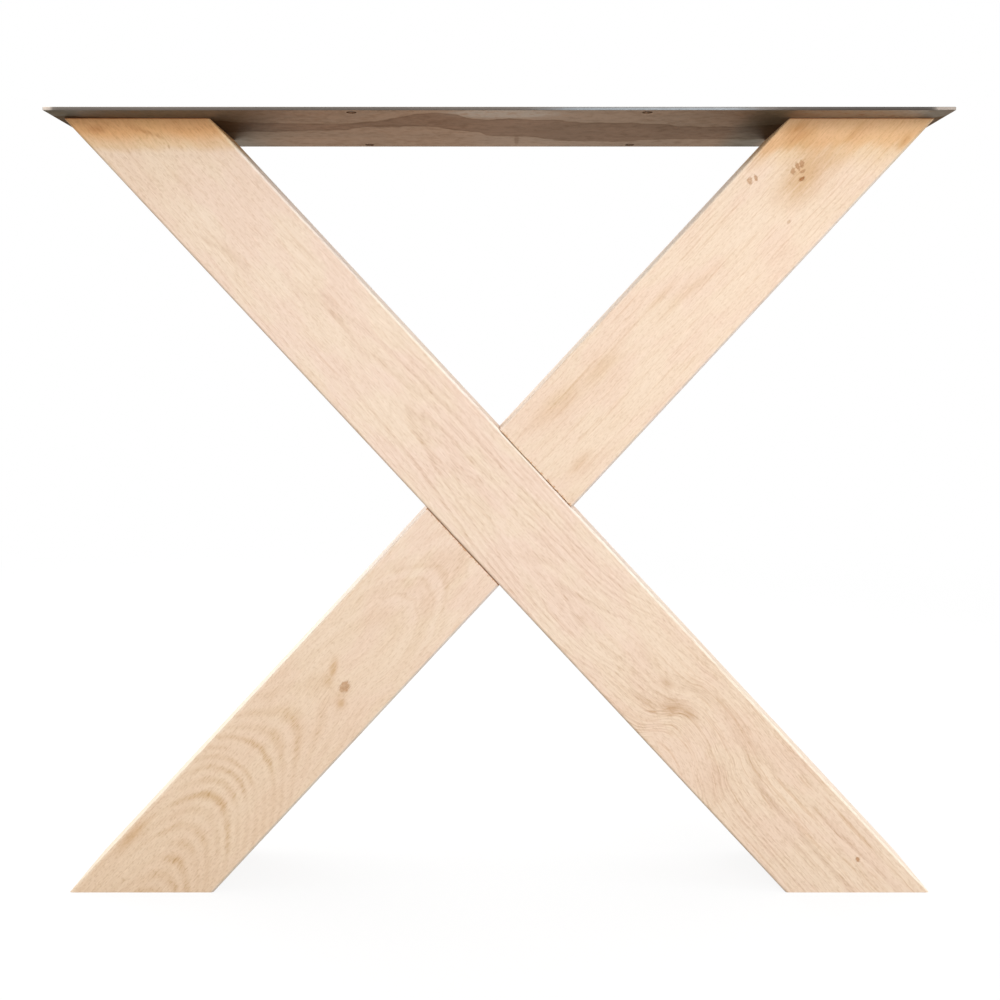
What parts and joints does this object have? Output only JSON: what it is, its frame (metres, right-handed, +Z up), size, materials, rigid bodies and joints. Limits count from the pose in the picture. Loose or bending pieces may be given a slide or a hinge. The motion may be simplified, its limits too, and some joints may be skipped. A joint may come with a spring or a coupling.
{
  "type": "x-shaped table leg",
  "caption": "X-shaped oak table leg: crossing square beams halved into each other under a flat steel plate that screws to the underside of a tabletop.",
  "frame": {"origin": "on the floor, under the crossing of the two beams, midway between the feet and between front and rear faces", "axes": "+Z up from the floor to the tabletop, +X along the plate to the right as seen from the front, -Y towards the front"},
  "size_m": [0.814, 0.16, 0.72],
  "materials": {
    "oak": "planed and sanded, unfinished",
    "raw_steel": "raw hot-rolled sheet with mill scale and oil stains",
    "zinc_screw": "zinc plated"
  },
  "bodies": {
    "root": {"front_lap_beam": "oak", "rear_lap_beam": "oak", "top_plate": "raw_steel", "plate_screws": "zinc_screw"}
  },
  "joints": []
}
